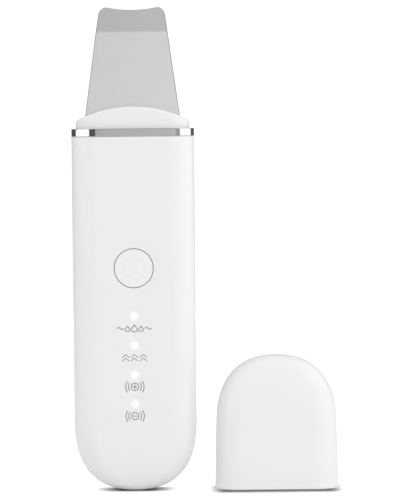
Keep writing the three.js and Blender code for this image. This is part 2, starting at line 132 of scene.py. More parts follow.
def make_object(name, bm, smooth_angle=SMOOTH_ANGLE):
    """Turns a bmesh in millimetres into an object in metres, smooth except at real edges."""
    bmesh.ops.remove_doubles(bm, verts=bm.verts, dist=1e-4)
    bmesh.ops.recalc_face_normals(bm, faces=bm.faces)
    bmesh.ops.scale(bm, vec=(MM, MM, MM), verts=bm.verts)
    return finish_mesh(link_mesh(name, bm), smooth_angle)


def loft(rings, ends="flat", arc=0):
    """Skins a stack of equal-length closed rings of points.

    A flat end gets one face. A zipped end, whose outline isn't flat, gets a strip of faces from its front
    to its back. arc is the number of steps in the ring's first rounded end. Open ends get nothing.
    """
    bm = bmesh.new()
    rows = [[bm.verts.new(p) for p in ring] for ring in rings]
    count = len(rows[0])
    for lower, upper in zip(rows, rows[1:]):
        for i in range(count):
            j = (i + 1) % count
            bm.faces.new((lower[i], lower[j], upper[j], upper[i]))
    if ends == "flat":
        bm.faces.new(list(reversed(rows[0])))
        bm.faces.new(rows[-1])
    if ends == "zipped":
        half = count // 2
        for row in (rows[0], rows[-1]):
            for i in range(arc // 2, arc // 2 + half):
                corners = (row[i], row[i + 1], row[(arc - i - 1) % count], row[(arc - i) % count])
                bm.faces.new(list(dict.fromkeys(corners)))
    return bm


def lathe_y(profile, centre, segments=96):
    """Turns a profile of (radius, y) about an axis along Y. The profile starts and ends on the axis."""
    cx, cz = centre
    bm = bmesh.new()
    turn = [2 * math.pi * i / segments for i in range(segments)]
    rows = []
    for radius, y in profile:
        ring = [(cx + radius * math.cos(a), y, cz + radius * math.sin(a)) for a in turn]
        if radius < 1e-6:
            ring = [(cx, y, cz)]
        rows.append([bm.verts.new(p) for p in ring])
    for first, second in zip(rows, rows[1:]):
        for i in range(segments):
            j = (i + 1) % segments
            corners = [row[k % len(row)] for row, k in ((first, i), (first, j), (second, j), (second, i))]
            bm.faces.new(list(dict.fromkeys(corners)))
    return bm


def combine(piece, cutter_bm, operation="DIFFERENCE"):
    """Cuts another closed form out of a piece, or joins it on."""
    cutter = make_object("cutter", cutter_bm)
    modifier = piece.modifiers.new("combine", "BOOLEAN")
    modifier.operation = operation
    modifier.solver = "EXACT"
    modifier.object = cutter
    depsgraph = bpy.context.evaluated_depsgraph_get()
    result = bpy.data.meshes.new_from_object(piece.evaluated_get(depsgraph))
    piece.modifiers.clear()
    old = piece.data
    piece.data = result
    result.name = piece.name
    bpy.data.meshes.remove(old)
    bpy.data.objects.remove(cutter)


def join_pieces(name, parts):
    """Puts several closed forms in one object."""
    bm = bmesh.new()
    for part in parts:
        bm.from_mesh(part.data)
        bpy.data.objects.remove(part)
    return finish_mesh(link_mesh(name, bm))


# ---- Outlines ----


def quarter_turn(steps):
    """Angles from 0 to a right angle."""
    return [math.pi / 2 * i / steps for i in range(steps + 1)]


def rounded_off(half_size, rise, power):
    """Half-size left at a rise, 0 to 1, up a superellipse."""
    return half_size * (1 - min(max(rise, 0.0), 1.0) ** power) ** (1 / power)


def superellipse_heights(start, height, last_rise, power, count):
    """Heights along a superellipse from its start, closer together where it turns fastest."""
    last_angle = math.asin(last_rise ** (power / 2))
    return [start + height * math.sin(last_angle * i / count) ** (2 / power) for i in range(count + 1)]


def stadium(width, depth, full_round, arc=28, sides=1, margin=0.0):
    """(x, y) points round a slot shape: right end, back, left end, front.

    Its ends stay full_round wide until the shape is narrower than that. Each flat side has sides steps,
    and a narrow one of its own next to each end where there is a margin, which keeps its shading flat.
    """
    reach = min(width, full_round)
    flat = width - reach
    turn = [-math.pi / 2 + math.pi * i / arc for i in range(arc + 1)]
    end = [(flat + reach * math.cos(a), depth * math.sin(a)) for a in turn]
    side = [(flat - 2 * flat * i / sides, depth) for i in range(1, sides)]
    if margin:
        side = [(flat - margin, depth), *side, (margin - flat, depth)]
    half = end + side
    return half + [(-x, -y) for x, y in half]


def stadium_ring(x0, z, width, depth, full_round, arc=28):
    """A level slot-shaped ring of points about x0."""
    return [(x0 + x, y, z) for x, y in stadium(width, depth, full_round, arc)]


def half_ring(x0, z, width, depth, full_round, side, part_gap, groove, arc=20):
    """The front (side -1) or rear (side 1) half of a stadium, its corners at the parting line cut off."""
    reach = min(width, full_round)
    flat = width - reach
    first = math.asin(min((part_gap + groove) / depth, 0.9))
    angles = [first + (math.pi / 2 - first) * i / arc for i in range(arc + 1)]
    right = [(flat + reach * math.cos(a), side * depth * math.sin(a)) for a in angles]
    corner = (width - groove, side * part_gap)
    half = [corner, *right]
    points = half + [(-x, y) for x, y in reversed(half)]
    return [(x0 + x, y, z) for x, y in points]


def foot_stations(inset, bottom, count):
    """(height, half-width, half-depth) of the handle's lower end, shrunk by an inset."""
    height = FOOT_HEIGHT - inset
    last = (FOOT_START - bottom) / height
    heights = superellipse_heights(FOOT_START, -height, last, FOOT_WIDTH_POWER, count)
    rows = []
    for z in reversed(heights):
        rise = (FOOT_START - z) / height
        rows.append((
            z,
            rounded_off(HALF_WIDTH - inset, rise, FOOT_WIDTH_POWER),
            rounded_off(HALF_DEPTH - inset, rise, FOOT_DEPTH_POWER),
        ))
    return rows


# ---- Materials ----

NOISE_RANGE = (0.3, 0.7)  # nearly all of a noise texture's values lie in here
RELIEF_STRENGTH = 0.35
WHITE = (1, 1, 1, 1)


def new_material(name):
    """An empty material with its nodes, its links and its shader node."""
    material = bpy.data.materials.new(name)
    material.use_nodes = True
    nodes = material.node_tree.nodes
    return material, nodes, material.node_tree.links, nodes["Principled BSDF"]


def noise(nodes, links, scale, detail=3.0, stretch=(1, 1, 1)):
    """Noise in the object's own space. scale is in features per metre, over stretch."""
    place = nodes.new("ShaderNodeTexCoord")
    mapping = nodes.new("ShaderNodeMapping")
    mapping.inputs["Scale"].default_value = stretch
    texture = nodes.new("ShaderNodeTexNoise")
    texture.inputs["Scale"].default_value = scale
    texture.inputs["Detail"].default_value = detail
    links.new(place.outputs["Object"], mapping.inputs["Vector"])
    links.new(mapping.outputs["Vector"], texture.inputs["Vector"])
    return texture.outputs["Fac"]


def node_math(nodes, links, operation, first, second=None, clamp=False):
    """One step of arithmetic. Each input is a number or another node's output."""
    node = nodes.new("ShaderNodeMath")
    node.operation = operation
    node.use_clamp = clamp
    for socket, value in zip(node.inputs, (first, second)):
        if value is None:
            continue
        if isinstance(value, (int, float)):
            socket.default_value = value
        else:
            links.new(value, socket)
    return node.outputs["Value"]


def remap(nodes, links, value, from_range, to_range, curve="SMOOTHSTEP"):
    """Maps one range of values to another, and holds it at the ends."""
    node = nodes.new("ShaderNodeMapRange")
    node.interpolation_type = curve
    node.inputs["From Min"].default_value, node.inputs["From Max"].default_value = from_range
    node.inputs["To Min"].default_value, node.inputs["To Max"].default_value = to_range
    links.new(value, node.inputs["Value"])
    return node.outputs["Result"]


def split_place(nodes, links, space):
    """X, Y and Z of the shaded point in a space. In the world's, they are the looked-at direction."""
    place = nodes.new("ShaderNodeTexCoord")
    split = nodes.new("ShaderNodeSeparateXYZ")
    links.new(place.outputs[space], split.inputs["Vector"])
    return split.outputs


def tint(nodes, links, fac, dark, light):
    """Colour between dark and light, after the noise."""
    ramp = nodes.new("ShaderNodeValToRGB")
    ramp.color_ramp.elements[0].position = NOISE_RANGE[0]
    ramp.color_ramp.elements[1].position = NOISE_RANGE[1]
    ramp.color_ramp.elements[0].color = (*dark, 1)
    ramp.color_ramp.elements[1].color = (*light, 1)
    links.new(fac, ramp.inputs["Fac"])
    return ramp.outputs["Color"]


def bump(nodes, links, height, distance):
    """A relief after the noise. distance is its height in metres, which RELIEF_STRENGTH weakens."""
    node = nodes.new("ShaderNodeBump")
    node.inputs["Strength"].default_value = RELIEF_STRENGTH
    node.inputs["Distance"].default_value = distance
    links.new(height, node.inputs["Height"])
    return node.outputs["Normal"]


def surface(name, dark, light, roughness, grain, depth, metallic=0.0, stretch=(1, 1, 1), mottle=60.0):
    """A surface with faint colour mottling, uneven gloss and a fine relief.

    roughness is a range, grain and mottle are in features per metre, and depth is the relief's height
    in millimetres.
    """
    material, nodes, links, shader = new_material(name)
    links.new(tint(nodes, links, noise(nodes, links, mottle), dark, light), shader.inputs["Base Color"])
    uneven = noise(nodes, links, mottle * 3, 4.0, stretch)
    links.new(remap(nodes, links, uneven, NOISE_RANGE, roughness, "LINEAR"), shader.inputs["Roughness"])
    if depth:
        relief = noise(nodes, links, grain, 2.0, stretch)
        links.new(bump(nodes, links, relief, depth * MM), shader.inputs["Normal"])
    shader.inputs["Metallic"].default_value = metallic
    return material


def grey(value):
    """A colour with three equal parts."""
    return (value, value, value)


def white_plastic():
    """Satin white ABS with a very fine spark texture."""
    material = surface("satin_white_abs", grey(0.785), grey(0.795), (0.36, 0.44), 5200.0, 0.012)
    material.node_tree.nodes["Principled BSDF"].inputs["IOR"].default_value = 1.5
    return material


# The painted glow round an indicator on the shell: full out to one distance from its middle, gone at the
# other.
GLOW_FULL, GLOW_END = 0.6, 2.5
GLOW_STRENGTH = 0.11
LENS_STRENGTH = 1.2


def glowing_shell():
    """The front shell's plastic, with a glow painted round each indicator as emission, standing for light
    that leaks through it.
    """
    material = white_plastic()
    material.name = "satin_white_abs_lit"
    nodes, links = material.node_tree.nodes, material.node_tree.links
    shader = nodes["Principled BSDF"]
    place = nodes.new("ShaderNodeTexCoord")
    total = 0.0
    for z in LED_HEIGHTS:
        distance = nodes.new("ShaderNodeVectorMath")
        distance.operation = "DISTANCE"
        distance.inputs[1].default_value = mm(HANDLE_X, FACE_Y, z)
        links.new(place.outputs["Object"], distance.inputs[0])
        reach = (GLOW_FULL * MM, GLOW_END * MM)
        fall = remap(nodes, links, distance.outputs["Value"], reach, (GLOW_STRENGTH, 0.0), "SMOOTHERSTEP")
        total = node_math(nodes, links, "ADD", total, fall)
    # painted glow: emission on the shell round each indicator, though the shell is no lamp
    shader.inputs["Emission Color"].default_value = WHITE
    links.new(total, shader.inputs["Emission Strength"])
    return material


def lamp_lens():
    """Frosted clear plastic, lit from behind."""
    material = surface("lit_lens", (0.95, 0.96, 0.97), (1, 1, 1), (0.2, 0.3), 3000.0, 0.01)
    shader = material.node_tree.nodes["Principled BSDF"]
    shader.inputs["Emission Color"].default_value = WHITE
    shader.inputs["Emission Strength"].default_value = LENS_STRENGTH
    return material


BRUSHED = (1, 1, 0.05)
WOUND = (1, 1, 8)
MATERIALS = {
    "shell_white": white_plastic(),
    "button_white": surface("satin_white_button", grey(0.80), grey(0.81), (0.32, 0.40), 5200.0, 0.010),
    "chrome_band": surface("bright_chrome", grey(0.50), grey(0.52), (0.05, 0.08), 900.0, 0.002, 1.0),
    "blade_steel": surface(
        "satin_steel", grey(0.85), grey(0.87), (0.22, 0.25), 2600.0, 0, 1.0, BRUSHED, 300.0,
    ),
    "silicone_grey": surface("soft_silicone", grey(0.66), grey(0.70), (0.55, 0.68), 2600.0, 0.02),
    "clear_guide": surface(
        "clear_guide", (0.86, 0.88, 0.9), (0.92, 0.94, 0.95), (0.1, 0.2), 900.0, 0.01,
    ),
    "frame_grey": surface("filled_nylon", grey(0.045), grey(0.065), (0.5, 0.65), 2400.0, 0.03),
    "board_green": surface(
        "solder_mask", (0.02, 0.13, 0.05), (0.03, 0.2, 0.08), (0.25, 0.4), 1500.0, 0.02,
    ),
    "part_black": surface("moulded_epoxy", grey(0.018), grey(0.03), (0.35, 0.5), 4000.0, 0.01),
    "led_yellow": surface(
        "lamp_chip", (0.9, 0.8, 0.45), (1.0, 0.92, 0.6), (0.2, 0.3), 3000.0, 0.01,
    ),
    "piezo_cream": surface(
        "silvered_ceramic", (0.7, 0.66, 0.56), (0.8, 0.77, 0.68), (0.3, 0.45), 3000.0, 0.01,
    ),
    "coil_copper": surface(
        "wound_copper", (0.45, 0.2, 0.08), (0.62, 0.3, 0.13), (0.3, 0.45), 2500.0, 0.05, 1.0, WOUND,
    ),
    "cell_silver": surface(
        "pouch_foil", (0.5, 0.52, 0.55), (0.62, 0.64, 0.67), (0.25, 0.4), 500.0, 0.08, 0.8,
    ),
    "foam_black": surface("foam_tape", grey(0.02), grey(0.05), (0.85, 0.95), 1800.0, 0.2),
    "lead_red": surface(
        "red_insulation", (0.45, 0.02, 0.015), (0.55, 0.03, 0.02), (0.4, 0.5), 2000.0, 0.01,
    ),
    "lead_black": surface("black_insulation", grey(0.012), grey(0.02), (0.4, 0.5), 2000.0, 0.01),
    "zinc_steel": surface(
        "zinc_plate", (0.55, 0.56, 0.58), (0.68, 0.69, 0.7), (0.25, 0.38), 3500.0, 0.01, 1.0,
    ),
}
LIT_SHELL = glowing_shell()
LENS = lamp_lens()
INK = surface("grey_ink", grey(0.20), grey(0.235), (0.5, 0.6), 6000.0, 0.004)


def settle(piece, material, body, slot, *nodes):
    """Gives a piece its material and its body, and hides any CAD nodes it stands for. Its slot is not used.
    """
    piece.data.materials.clear()
    piece.data.materials.append(material)
    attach(piece, body)
    if nodes:
        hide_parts(*nodes)


# ---- Handle shells ----

PART_GAP = 0.02
PART_GROOVE = 0.12
TOP_EDGE = 0.15
PORT_HALF_LENGTH, PORT_HALF_HEIGHT = 4.77, 1.88
BUTTON_OPENING = 7.18
BUTTON_RADIUS = 6.92
LENS_OPENING = 0.80
BORE_FLARE = 0.05


def shell_solid(name, side):
    """One half of the handle's outer form, with the parting groove and a broken top edge."""
    rows = foot_stations(0.0, 0.0, 40)
    top = SHELL_TOP
    levels = [top * 0.4, top * 0.6, top * 0.8, top - TOP_EDGE - 0.4, top - TOP_EDGE]
    rows += [(z, HALF_WIDTH, HALF_DEPTH) for z in levels]
    for a in (math.pi / 6, math.pi / 3, math.pi / 2):
        inward = TOP_EDGE * (1 - math.cos(a))
        rows.append((top - TOP_EDGE + TOP_EDGE * math.sin(a), HALF_WIDTH - inward, HALF_DEPTH - inward))
    rings = [half_ring(HANDLE_X, z, w, d, HALF_DEPTH, side, PART_GAP, PART_GROOVE) for z, w, d in rows]
    return make_object(name, loft(rings))


def shell_hollow():
    """The room inside both shells, open at the top."""
    rows = foot_stations(WALL, WALL, 24) + [(SHELL_TOP + 2, HALF_WIDTH - WALL, HALF_DEPTH - WALL)]
    return loft([stadium_ring(HANDLE_X, z, w, d, HALF_DEPTH - WALL) for z, w, d in rows])


def port_opening():
    """Opening in the foot for the charging plug, its rim slightly flared."""
    rows = [(-1.0, 0.4), (0.0, 0.3), (0.12, 0.12), (0.3, 0.0), (WALL + 2, 0.0)]
    rings = []
    for z, grow in rows:
        half_height = PORT_HALF_HEIGHT + grow
        rings.append(stadium_ring(HANDLE_X, z, PORT_HALF_LENGTH + grow, half_height, half_height, 12))
    return loft(rings)


def flared_bore(radius, z):
    """A round opening through the front wall with a softly rounded rim."""
    outside, inside = FACE_Y - 1, FACE_Y + WALL + 1
    profile = [(0, outside), (radius + BORE_FLARE, outside)]
    profile += [
        (radius + BORE_FLARE * (1 - math.sin(a)), FACE_Y + BORE_FLARE * (1 - math.cos(a)))
        for a in quarter_turn(4)
    ]
    profile += [(radius, inside), (0, inside)]
    return lathe_y(profile, (HANDLE_X, z))


def front_shell():
    """The front half, with openings for the button and the indicators."""
    shell = shell_solid("front_shell", -1)
    combine(shell, shell_hollow())
    combine(shell, port_opening())
    combine(shell, flared_bore(BUTTON_OPENING, BUTTON_Z))
    for z in LED_HEIGHTS:
        combine(shell, flared_bore(LENS_OPENING, z))
    finish_mesh(shell)
    settle(shell, LIT_SHELL, "handle", "shell_white", "front_cover")


def rear_shell():
    """The rear half."""
    shell = shell_solid("rear_shell", 1)
    combine(shell, shell_hollow())
    combine(shell, port_opening())
    finish_mesh(shell)
    settle(shell, MATERIALS["shell_white"], "handle", "shell_white", "rear_cover")


# ---- Chrome band ----


def band_ring():
    """A closed band with rounded edges, lofted round its own section."""
    edge, support = 0.12, 0.1
    corner = [
        (edge + support, 0.0), (edge, 0.0), (edge * 0.3, edge * 0.3), (0.0, edge), (0.0, edge + support),
    ]
    section = [(WALL, ring_low.z)]
    section += [(inset, ring_low.z + up) for inset, up in corner]
    section += [(inset, ring_high.z - down) for inset, down in reversed(corner)]
    section += [(WALL, ring_high.z)]
    rings = [
        stadium_ring(HANDLE_X, z, HALF_WIDTH - inset, HALF_DEPTH - inset, HALF_DEPTH - inset, 48)
        for inset, z in section
    ]
    bm = loft(rings + [rings[0]], ends="open")
    piece = make_object("chrome_band", bm, 50.0)
    settle(piece, MATERIALS["chrome_band"], "handle", "chrome_band", "chrome_ring")


# ---- Head collar and gasket ----

COLLAR_HALF_WIDTH, COLLAR_HALF_DEPTH = 20.6, 7.35
SKIRT_HALF_WIDTH, SKIRT_HALF_DEPTH = 20.2, 7.05
ROOM_HALF_WIDTH, ROOM_HALF_DEPTH = 18.8, 5.65
DOME_RADIUS = 44.0
DOME_EDGE = 0.7
SLOT_HALF_LENGTH, SLOT_HALF_WIDTH = 18.8, 1.3


def dome_height(x, drop=0.0):
    """Height of the collar's arched top over the distance from the handle's axis."""
    across = x - HANDLE_X
    return collar_high.z - drop - DOME_RADIUS + math.sqrt(DOME_RADIUS ** 2 - across ** 2)


def domed_column(half_width, half_depth, bottom, drop, edge, arc=36):
    """A slot-shaped column under the arched top, its upper edge rounded off."""
    def ring(inset, height_of):
        outline = stadium(half_width - inset, half_depth - inset, half_depth - inset, arc, 24)
        return [(HANDLE_X + x, y, height_of(HANDLE_X + x)) for x, y in outline]

    rings = [ring(0, lambda x: bottom), ring(0, lambda x: dome_height(x, drop) - edge - 0.15)]
    for a in quarter_turn(6):
        fall = edge * (1 - math.sin(a))
        rings.append(ring(edge * (1 - math.cos(a)), lambda x, fall=fall: dome_height(x, drop) - fall))
    rings.append(ring(half_depth * 0.6, lambda x: dome_height(x, drop)))
    return loft(rings, "zipped", arc)


def collar():
    """The arched collar: a skirt inside the chrome band, a hollow below and a slot for the spatula."""
    piece = make_object(
        "collar_shell",
        domed_column(COLLAR_HALF_WIDTH, COLLAR_HALF_DEPTH, ring_high.z + 0.03, 0.0, DOME_EDGE),
    )
    skirt = [
        stadium_ring(HANDLE_X, z, SKIRT_HALF_WIDTH, SKIRT_HALF_DEPTH, SKIRT_HALF_DEPTH)
        for z in (collar_low.z, ring_high.z + 0.5)
    ]
    combine(piece, loft(skirt), "UNION")
    combine(piece, domed_column(ROOM_HALF_WIDTH, ROOM_HALF_DEPTH, collar_low.z - 1, 2.0, 0.3, 16))
    slot = [
        stadium_ring(HANDLE_X, z, SLOT_HALF_LENGTH, SLOT_HALF_WIDTH, SLOT_HALF_WIDTH, 12)
        for z in (collar_low.z + 8, collar_high.z + 2)
    ]
    combine(piece, loft(slot))
    finish_mesh(piece)
    settle(piece, MATERIALS["shell_white"], "handle", "shell_white", "head_collar")


def gasket():
    """Soft lip that fills the slot around the spatula and stands a little below the arched top."""
    lip, root = 0.35, 3.4
    outer, inner = 0.06, 0.72

    def outline(inset, drop):
        width = SLOT_HALF_WIDTH - inset
        points = stadium(SLOT_HALF_LENGTH - inset, width, width, 10, 24)
        return [(HANDLE_X + x, y, dome_height(HANDLE_X + x, drop)) for x, y in points]

    section = [
        (outer, root), (outer, lip + 0.2), (outer + 0.12, lip + 0.03), ((outer + inner) / 2, lip),
        (inner - 0.12, lip + 0.05), (inner, lip + 0.25), (inner, root),
    ]
    rings = [outline(inset, drop) for inset, drop in section]
    piece = make_object("slot_gasket", loft(rings + [rings[0]], ends="open"), 60.0)
    settle(piece, MATERIALS["silicone_grey"], "handle", "silicone_grey", "blade_gasket")


# ---- Spatula ----

BLADE_HALF = 0.3  # half the sheet's thickness
BEND_HEIGHT = 165.9
BEND_RADIUS = 2.5
BEND_ANGLE = math.radians(16)
BEND_LOW = BEND_HEIGHT - BEND_RADIUS * math.tan(BEND_ANGLE / 2)
BEND_HIGH = BEND_LOW + BEND_RADIUS * math.sin(BEND_ANGLE)
ROOT_HALF_WIDTH = (blade_high.x - blade_low.x) / 2
SHANK_HALF_WIDTH = 8.0
SHOULDER_LOW, SHOULDER_HIGH = 128.5, 131.5
SIDE_STOP, SIDE_STOP_HALF = 172.1, 12.13
TIP_HALF_WIDTH = 9.5
TIP_DIP = 1.05
TIP_EDGE = 0.1
TIP_TOP = blade_high.z - BLADE_HALF * math.sin(BEND_ANGLE)
BLADE_ARC = 8
SIDE_ROUND = 0.01
FLAT_MARGIN = 0.12  # the narrow step beside each edge that keeps the flat sides' shading flat
TIP_HOLLOW_START = BEND_HEIGHT + 2
STOP_HOLLOW = 0.55  # share of the tip's dip that is reached where the straight sides stop
SIDE_SLOPE = 0.22  # how much narrower the sheet's front is than its back, at each side


def bend(z):
    """How far the sheet's middle lies behind the vertical at a height, and how much it leans there."""
    up = z - BEND_LOW
    if up <= 0:
        return 0.0, 0.0
    if up < BEND_RADIUS * math.sin(BEND_ANGLE):
        lean = math.asin(up / BEND_RADIUS)
        return BEND_RADIUS * (1 - math.cos(lean)), lean
    past = up - BEND_RADIUS * math.sin(BEND_ANGLE)
    return BEND_RADIUS * (1 - math.cos(BEND_ANGLE)) + past * math.tan(BEND_ANGLE), BEND_ANGLE


def blade_rows():
    """(height, half-width, share of the tip's hollow) from the shank to the working edge."""
    rows = [(blade_low.z, SHANK_HALF_WIDTH, 0.0), (SHOULDER_LOW, SHANK_HALF_WIDTH, 0.0)]
    rows += [(SHOULDER_HIGH, ROOT_HALF_WIDTH, 0.0)]
    slope = (ROOT_HALF_WIDTH - SIDE_STOP_HALF) / (SIDE_STOP - SHOULDER_HIGH)
    heights = [SHOULDER_HIGH + (BEND_LOW - SHOULDER_HIGH) * i / 12 for i in range(1, 12)]
    heights += [BEND_LOW - 0.3 + (BEND_HIGH - BEND_LOW + 0.6) * i / 10 for i in range(11)]
    heights += [BEND_HIGH + (SIDE_STOP - BEND_HIGH) * i / 8 for i in range(1, 9)]
    for z in heights:
        hollow = max(0.0, (z - TIP_HOLLOW_START) / (SIDE_STOP - TIP_HOLLOW_START)) * STOP_HOLLOW
        rows.append((z, ROOT_HALF_WIDTH - slope * (z - SHOULDER_HIGH), hollow))
    control = (TIP_HALF_WIDTH + 2.1, TIP_TOP - TIP_EDGE - 0.02)
    for i in range(1, 13):
        t = i / 12
        x = (1 - t) ** 2 * SIDE_STOP_HALF + 2 * t * (1 - t) * control[0] + t * t * TIP_HALF_WIDTH
        z = (1 - t) ** 2 * SIDE_STOP + 2 * t * (1 - t) * control[1] + t * t * (TIP_TOP - TIP_EDGE)
        rows.append((z, x, STOP_HOLLOW + (1 - STOP_HOLLOW) * t))
    return rows


def blade_ring(z, half_width, hollow, thickness=BLADE_HALF):
    """One closed ring round the sheet, bent back with it, lower in the middle where the tip is hollow."""
    points = []
    for x, off in stadium(half_width, thickness, SIDE_ROUND, BLADE_ARC, 36, FLAT_MARGIN):
        x *= 1 - SIDE_SLOPE / half_width * (thickness - off) / (2 * thickness)
        height = z - TIP_DIP * hollow * max(0.0, 1 - (x / TIP_HALF_WIDTH) ** 2)
        back, lean = bend(height)
        points.append((HANDLE_X + x, back + off * math.cos(lean), height - off * math.sin(lean)))
    return points


def spatula():
    """The steel sheet, bent back near its hollow-edged tip."""
    rows = blade_rows()
    rings = [blade_ring(*row) for row in rows[:-1]]
    z, half_width, hollow = rows[-1]
    for a in quarter_turn(4):
        lost = TIP_EDGE * (1 - math.cos(a))
        rings.append(blade_ring(z + TIP_EDGE * math.sin(a), half_width - lost, hollow, BLADE_HALF - lost))
    piece = make_object("steel_spatula", loft(rings, "zipped", BLADE_ARC), 40.0)
    settle(piece, MATERIALS["blade_steel"], "handle", "blade_steel", "scrub_blade")


# ---- Button and its sign ----

FLANGE_RADIUS, FLANGE_DEPTH = 8.1, 0.5
POST_RADIUS = 1.6
POWER_STROKE = (0.3, 0.15)  # half-width and half-depth of the sunk power sign's strokes
SIGN_STROKE = (0.17, 0.012)  # the same for the printed signs
SIGN_DROP = 4.4  # each sign's middle lies this far under its indicator


def stroke(path, half_width, half_depth):
    """A rounded stroke along a path of (x, z) points on the front face. An open one has round ends."""
    points = [Vector((x, z)) for x, z in path]
    loop = (points[0] - points[-1]).length < 1e-6
    if loop:
        points = points[:-1]
    rings = []

    def ring(centre, direction, scale):
        side = Vector((direction.y, -direction.x))
        turn = [2 * math.pi * i / 10 for i in range(10)]
        return [
            (
                centre.x + side.x * half_width * scale * math.cos(a),
                FACE_Y + half_depth * scale * math.sin(a),
                centre.y + side.y * half_width * scale * math.cos(a),
            )
            for a in turn
        ]

    count = len(points)
    for i, point in enumerate(points):
        before = points[i - 1] if i or loop else point
        after = points[(i + 1) % count] if i < count - 1 or loop else point
        rings.append(ring(point, (after - before).normalized(), 1.0))
    if loop:
        return loft(rings + [rings[0]], ends="open")
    ahead = (points[-1] - points[-2]).normalized()
    behind = (points[0] - points[1]).normalized()
    for a in (math.pi / 6, math.pi / 3, 1.5):
        reach, scale = half_width * math.sin(a), math.cos(a)
        rings.append(ring(points[-1] + ahead * reach, ahead, scale))
        rings.insert(0, ring(points[0] + behind * reach, -behind, scale))
    return loft(rings)


def arc_path(cx, cz, radius, start, end, count=40):
    """Points along an arc. Angles in degrees, measured from straight up, clockwise."""
    angles = [math.radians(start + (end - start) * i / count) for i in range(count + 1)]
    return [(cx + radius * math.sin(a), cz + radius * math.cos(a)) for a in angles]


def button():
    """The round button with its flange and post, and a power sign sunk into its face."""
    edge = 0.08
    inner_face = BUTTON_RADIUS - edge - 0.15
    front = FACE_Y + WALL + 0.3
    back = front + FLANGE_DEPTH
    profile = [(0, FACE_Y), (3.0, FACE_Y), (inner_face, FACE_Y)]
    profile += [
        (BUTTON_RADIUS - edge + edge * math.sin(a), FACE_Y + edge * (1 - math.cos(a)))
        for a in quarter_turn(4)
    ]
    profile += [(BUTTON_RADIUS, front), (FLANGE_RADIUS, front), (FLANGE_RADIUS, back)]
    profile += [(POST_RADIUS, back), (POST_RADIUS, button_high.y), (0, button_high.y)]
    piece = make_object("round_button", lathe_y(profile, (HANDLE_X, BUTTON_Z), 128))
    combine(piece, stroke(arc_path(HANDLE_X, BUTTON_Z, 3.9, 38, 322, 64), *POWER_STROKE))
    bar = [(HANDLE_X, BUTTON_Z + up) for up in (4.3, 1.5, -1.3)]
    combine(piece, stroke(bar, *POWER_STROKE))
    finish_mesh(piece)
    settle(piece, MATERIALS["button_white"], "button", "button_white", "power_button")


# ---- Indicators and printed signs ----


def light_strip():
    """The strip behind the shell that carries the four posts."""
    thickness = 0.8
    low, high = box_mm("light_guide")
    strip = bmesh.new()
    bmesh.ops.create_cube(strip, size=1.0)
    size = Vector((high.x - low.x, thickness, high.z - low.z))
    middle = Vector((HANDLE_X, high.y - thickness / 2, (low.z + high.z) / 2))
    bmesh.ops.transform(strip, matrix=Matrix.LocRotScale(middle, None, size), verts=strip.verts)
    bmesh.ops.bevel(strip, geom=strip.edges[:], offset=0.15, segments=2, affect="EDGES")
    return make_object("strip", strip)


def lenses():
    """Four clear posts whose ends show as small lit dots, on the strip behind the shell."""
    radius = LENS_OPENING - 0.03
    crown, sunk, back = 0.10, 0.04, -5.0
    profile = [
        (radius * math.sin(a), FACE_Y + sunk + crown * (1 - math.cos(a)))
        for a in (0.0, 0.4, 0.8, 1.2, 1.5)
    ]
    profile += [(radius, FACE_Y + 0.2), (radius, back), (0, back)]
    parts = [
        make_object(f"lens_{i}", lathe_y(profile, (HANDLE_X, z), 40))
        for i, z in enumerate(LED_HEIGHTS)
    ]
    piece = join_pieces("indicator_lenses", [*parts, light_strip()])
    settle(piece, LENS, "handle", "clear_guide", "light_guide")


def droplet(cx, cz, half_height):
    """A drop's outline, pointed at the top."""
    points = []
    for i in range(33):
        t = 2 * math.pi * i / 32
        width = 1.25 * half_height * math.sin(t) * math.sin(t / 2) ** 1.6
        points.append((cx + width, cz + half_height * math.cos(t)))
    return points


def ripple(cx, cz, half_length, height):
    """One wave along a level line."""
    count = 12
    return [
        (cx - half_length + 2 * half_length * i / count, cz + height * math.sin(2 * math.pi * i / count))
        for i in range(count + 1)
    ]


def chevron(cx, cz, half_width, height):
    """An arrow head that points up."""
    low, high = cz - height / 2, cz + height / 2
    return [(cx - half_width, low), (cx, high), (cx + half_width, low)]


def sign_paths(index, cx, cz):
    """Generic signs: drops for cleansing, rising arrows for lifting, plus and minus charge."""
    if index == 0:
        small = [droplet(cx + side * 2.4, cz - 0.1, 0.95) for side in (-1, 1)]
        waves = [ripple(cx + side * 5.0, cz, 1.1, 0.4) for side in (-1, 1)]
        return [droplet(cx, cz, 1.25), *small, *waves]
    if index == 1:
        columns = (cx - 3.2, cx, cx + 3.2)
        return [chevron(x, cz + up, 1.15, 1.0) for x in columns for up in (0.65, -0.65)]
    bar = [[(cx - 0.7, cz), (cx + 0.7, cz)]]
    if index == 2:
        bar.append([(cx, cz - 0.7), (cx, cz + 0.7)])
    circle = arc_path(cx, cz, 1.3, 0, 360, 32)
    waves = [arc_path(cx, cz, r, side + 55, side + 125, 10) for side in (0, 180) for r in (2.3, 3.3)]
    return [circle, *bar, *waves]


def signs():
    """Thin printed signs under the indicators."""
    parts = []
    for index, z in enumerate(LED_HEIGHTS):
        for n, path in enumerate(sign_paths(index, HANDLE_X, z - SIGN_DROP)):
            parts.append(make_object(f"sign_{index}_{n}", stroke(path, *SIGN_STROKE)))
    piece = join_pieces("printed_signs", parts)
    settle(piece, INK, "handle", "part_black")


# ---- Cap ----


